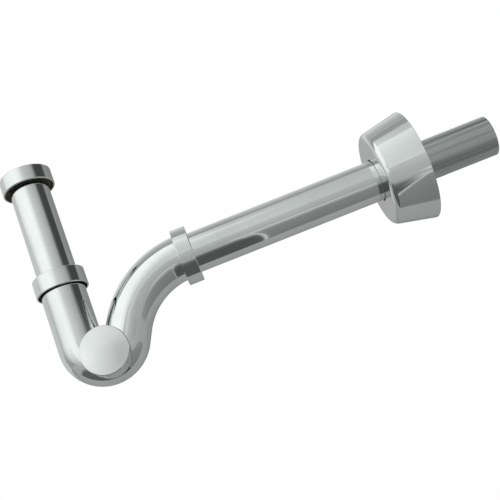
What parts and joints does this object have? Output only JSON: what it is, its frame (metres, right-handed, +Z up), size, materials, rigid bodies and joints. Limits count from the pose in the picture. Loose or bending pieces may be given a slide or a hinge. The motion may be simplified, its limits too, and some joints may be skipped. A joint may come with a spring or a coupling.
{
  "type": "s trap",
  "caption": "Chromed tubular basin trap: union inlet, tight U with a round clean-out cap, swept rise to a wall tube with a deep conical wall flange.",
  "frame": {"origin": "centre of the seat that the basin waste presses on, the top face of the union washer", "axes": "+Z up the inlet, +X out along the wall tube towards the wall, clean-out facing -Y"},
  "size_m": [0.3735, 0.0872, 0.188],
  "materials": {
    "chrome": "bright chrome plate on brass",
    "plated_socket": "thin chrome plate on turned brass",
    "brass": "turned brass",
    "rubber": "black rubber"
  },
  "bodies": {
    "inlet": {"inlet_tube": "chrome", "union_washer": "rubber"},
    "union_thrust_ring": {"union_thrust_ring": "brass"},
    "union_nut": {"union_nut": "chrome"},
    "inlet_seal": {"inlet_seal": "rubber"},
    "bend": {"trap_bend": "chrome", "inlet_socket": "plated_socket", "outlet_socket": "plated_socket", "cleanout_boss": "plated_socket", "outlet_washer": "rubber"},
    "inlet_slip_ring": {"inlet_slip_ring": "brass"},
    "inlet_slip_nut": {"inlet_slip_nut": "chrome"},
    "cleanout_gasket": {"cleanout_gasket": "rubber"},
    "cleanout_cap": {"cleanout_cap": "chrome"},
    "outlet_thrust_ring": {"outlet_thrust_ring": "brass"},
    "outlet_nut": {"outlet_nut": "chrome"},
    "outlet": {"outlet_tube": "chrome", "outlet_collar": "brass"},
    "flange_grip_ring": {"flange_grip_ring": "rubber"},
    "wall_flange": {"wall_flange": "chrome"}
  },
  "joints": [
    {"name": "union_nut_drop", "type": "slide", "parent": "inlet", "child": "union_thrust_ring", "axis": [0, 0, -1], "range_m": [0, 0.04]},
    {"name": "union_nut_spin", "type": "hinge", "parent": "union_thrust_ring", "child": "union_nut", "pos_m": [0, 0, 0], "axis": [0, 0, 1], "continuous": true},
    {"name": "inlet_height", "type": "slide", "parent": "inlet", "child": "inlet_seal", "axis": [0, 0, -1], "range_m": [-0.025, 0.012]},
    {"name": "trap_swivel", "type": "hinge", "parent": "inlet_seal", "child": "bend", "pos_m": [0, 0, 0], "axis": [0, 0, 1], "continuous": true},
    {"name": "inlet_nut_lift", "type": "slide", "parent": "bend", "child": "inlet_slip_ring", "axis": [0, 0, 1], "range_m": [0, 0.008]},
    {"name": "inlet_nut_turn", "type": "hinge", "parent": "inlet_slip_ring", "child": "inlet_slip_nut", "pos_m": [0, 0, 0], "axis": [0, 0, 1], "range_deg": [0, 1920]},
    {"name": "cleanout_travel", "type": "slide", "parent": "bend", "child": "cleanout_gasket", "axis": [0, -1, 0], "range_m": [0, 0.008]},
    {"name": "cleanout_turn", "type": "hinge", "parent": "cleanout_gasket", "child": "cleanout_cap", "pos_m": [0.0197, 0, -0.1612], "axis": [0, -1, 0], "range_deg": [0, 1920]},
    {"name": "outlet_nut_travel", "type": "slide", "parent": "bend", "child": "outlet_thrust_ring", "axis": [1, 0, 0], "range_m": [0, 0.008]},
    {"name": "outlet_nut_turn", "type": "hinge", "parent": "outlet_thrust_ring", "child": "outlet_nut", "pos_m": [0, 0, -0.10806], "axis": [1, 0, 0], "range_deg": [0, 1920]},
    {"name": "outlet_swivel", "type": "hinge", "parent": "bend", "child": "outlet", "pos_m": [0, 0, -0.10806], "axis": [1, 0, 0], "continuous": true},
    {"name": "flange_travel", "type": "slide", "parent": "outlet", "child": "flange_grip_ring", "axis": [1, 0, 0], "range_m": [-0.14, 0.055]},
    {"name": "flange_spin", "type": "hinge", "parent": "flange_grip_ring", "child": "wall_flange", "pos_m": [0, 0, -0.10806], "axis": [1, 0, 0], "continuous": true}
  ],
  "couplings": [
    {"joint": "inlet_nut_lift", "follows": "inlet_nut_turn", "m_per_rad": 0.00023873},
    {"joint": "cleanout_travel", "follows": "cleanout_turn", "m_per_rad": 0.00023873},
    {"joint": "outlet_nut_travel", "follows": "outlet_nut_turn", "m_per_rad": 0.00023873}
  ]
}
